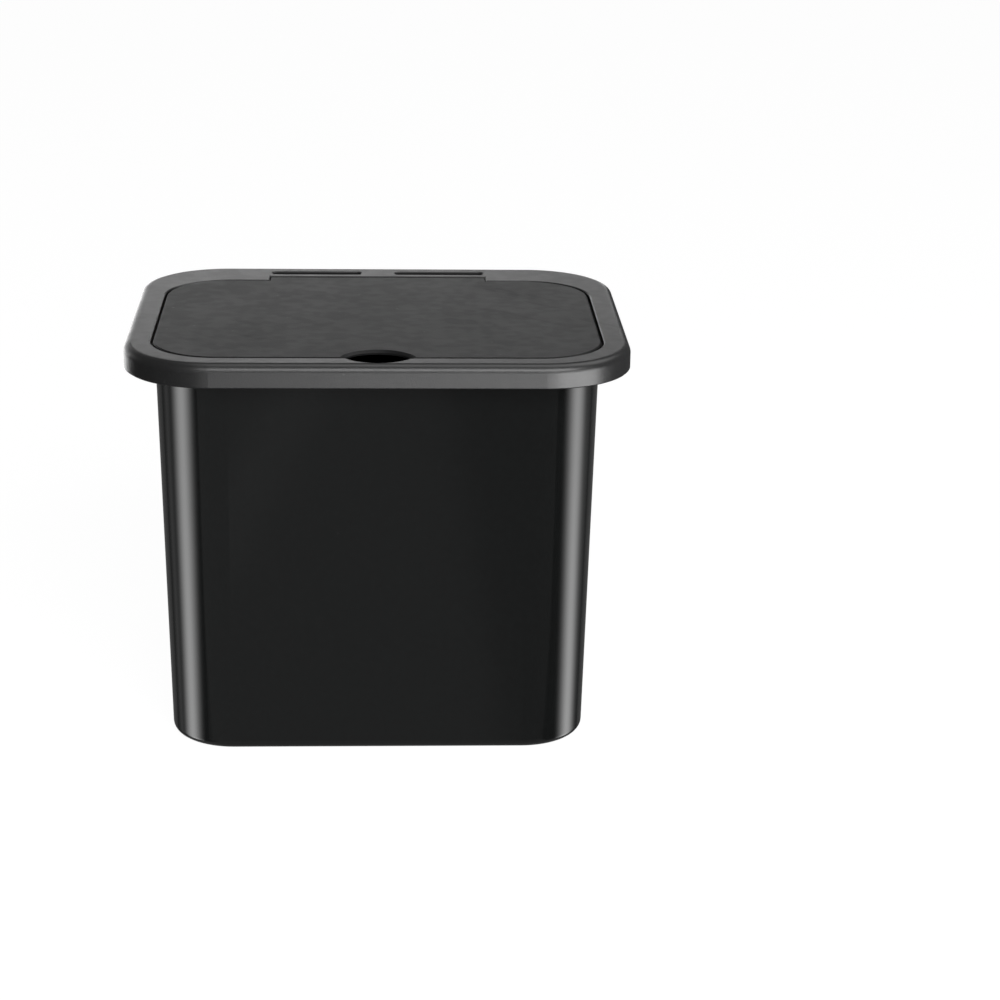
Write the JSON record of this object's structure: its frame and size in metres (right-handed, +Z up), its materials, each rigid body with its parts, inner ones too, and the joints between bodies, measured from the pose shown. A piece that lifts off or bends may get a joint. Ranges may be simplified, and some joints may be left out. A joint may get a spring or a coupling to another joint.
{
  "type": "backseat storage box",
  "caption": "Black moulded storage box for the back of a car seat: a glossy tapered bin, a satin rim with hanging slots and a matte hinged flap with a finger notch.",
  "frame": {"origin": "middle of the object's footprint, at the level of the foot rim", "axes": "+X across the box to the right as seen from its front, +Y from the front to the hinge and hanging slots at the back, +Z up"},
  "size_m": [0.23, 0.183, 0.1915],
  "materials": {
    "bin_gloss": "polished black",
    "rim_satin": "satin black with a fine spark texture",
    "flap_matte": "matte black with a fine grain"
  },
  "bodies": {
    "box": {"bin_body": "bin_gloss", "lid_frame": "rim_satin"},
    "flap": {"flap_lid": "flap_matte"}
  },
  "joints": [
    {"name": "flap_hinge", "type": "hinge", "parent": "box", "child": "flap", "pos_m": [0, 0.0693, 0.1889], "axis": [-1, 0, 0], "range_deg": [0, 100]}
  ]
}
